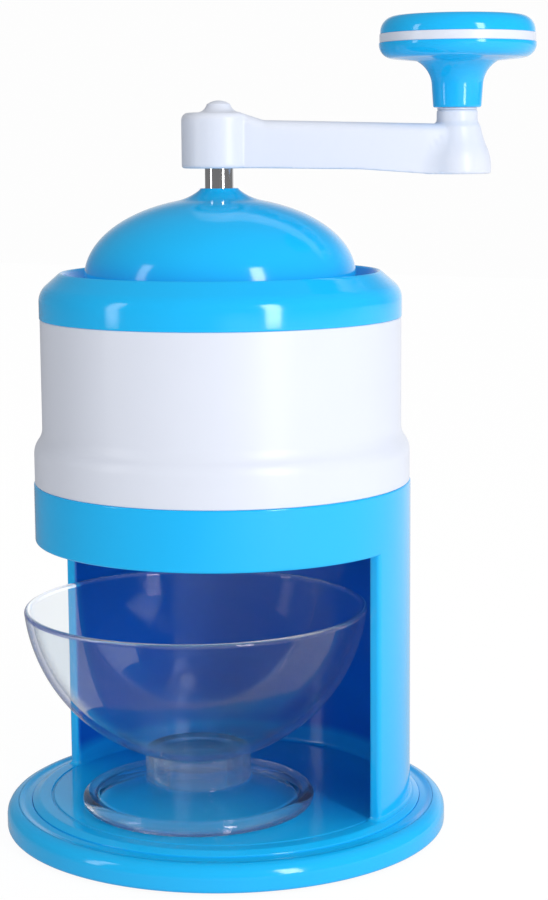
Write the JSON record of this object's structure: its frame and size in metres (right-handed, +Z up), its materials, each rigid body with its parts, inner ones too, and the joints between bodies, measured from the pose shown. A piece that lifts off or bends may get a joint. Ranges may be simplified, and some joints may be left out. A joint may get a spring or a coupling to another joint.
{
  "type": "hand cranked ice shaver",
  "caption": "Free-standing ice shaver: an open-fronted stand with a clear bowl, an ice barrel with a blade plate, and a domed lid with a sprung press plate and a crank.",
  "frame": {"origin": "on the table, on the common axis of the shaft, dome, barrel and stand", "axes": "+Z up along the shaft; -Y is the front, where the stand is open for the bowl; +X is to the right of a user who faces the front"},
  "size_m": [0.159, 0.1424, 0.2586],
  "materials": {
    "blue_plastic": "glossy moulded blue",
    "white_plastic": "satin to glossy moulded white",
    "inner_plastic": "moulded off-white, satin",
    "clear_plastic": "clear moulded plastic",
    "polished_steel": "polished stainless steel",
    "steel": "stainless steel",
    "spring_steel": "drawn stainless wire",
    "soft_rubber": "matt grey rubber"
  },
  "bodies": {
    "stand": {"stand": "blue_plastic", "base_foot": "blue_plastic", "non_slip_ring": "soft_rubber", "foot_screws": "steel"},
    "barrel": {"barrel": "white_plastic", "cutter_plate": "inner_plastic", "blade": "steel", "blade_screws": "steel", "cutter_screws": "steel"},
    "lid": {"cap_ring": "blue_plastic", "dome": "blue_plastic", "shaft_bush": "inner_plastic"},
    "crank": {"drive_shaft": "polished_steel", "shaft_clip": "steel", "thrust_washer": "steel", "spring_seat": "inner_plastic", "feed_spring": "spring_steel", "end_washer": "steel", "end_screw": "steel", "crank_arm": "white_plastic", "crank_screw": "steel", "hub_cap": "white_plastic", "knob_washer": "inner_plastic", "knob_pin": "steel"},
    "press_plate": {"press_plate": "inner_plastic", "ice_spikes": "steel"},
    "knob": {"knob_grip": "blue_plastic", "knob_band": "white_plastic", "knob_cap": "blue_plastic"},
    "bowl": {"ice_bowl": "clear_plastic", "bowl_foot": "clear_plastic"}
  },
  "joints": [
    {"name": "barrel_lift", "type": "slide", "parent": "stand", "child": "barrel", "axis": [0, 0, 1], "range_m": [0, 0.06]},
    {"name": "lid_lift", "type": "slide", "parent": "barrel", "child": "lid", "axis": [0, 0, 1], "range_m": [0, 0.08]},
    {"name": "crank_turn", "type": "hinge", "parent": "lid", "child": "crank", "pos_m": [0, 0, 0.195], "axis": [0, 0, -1], "continuous": true},
    {"name": "plate_feed", "type": "slide", "parent": "crank", "child": "press_plate", "axis": [0, 0, 1], "range_m": [0, 0.042], "stiffness_N_per_m": 585, "springref_m": -0.012, "deforming": ["feed_spring"]},
    {"name": "knob_spin", "type": "hinge", "parent": "crank", "child": "knob", "pos_m": [0.06344, 0.03887, 0.238], "axis": [0, 0, 1], "continuous": true},
    {"name": "bowl_slide", "type": "slide", "parent": "stand", "child": "bowl", "axis": [0, -1, 0], "range_m": [0, 0.12]}
  ]
}
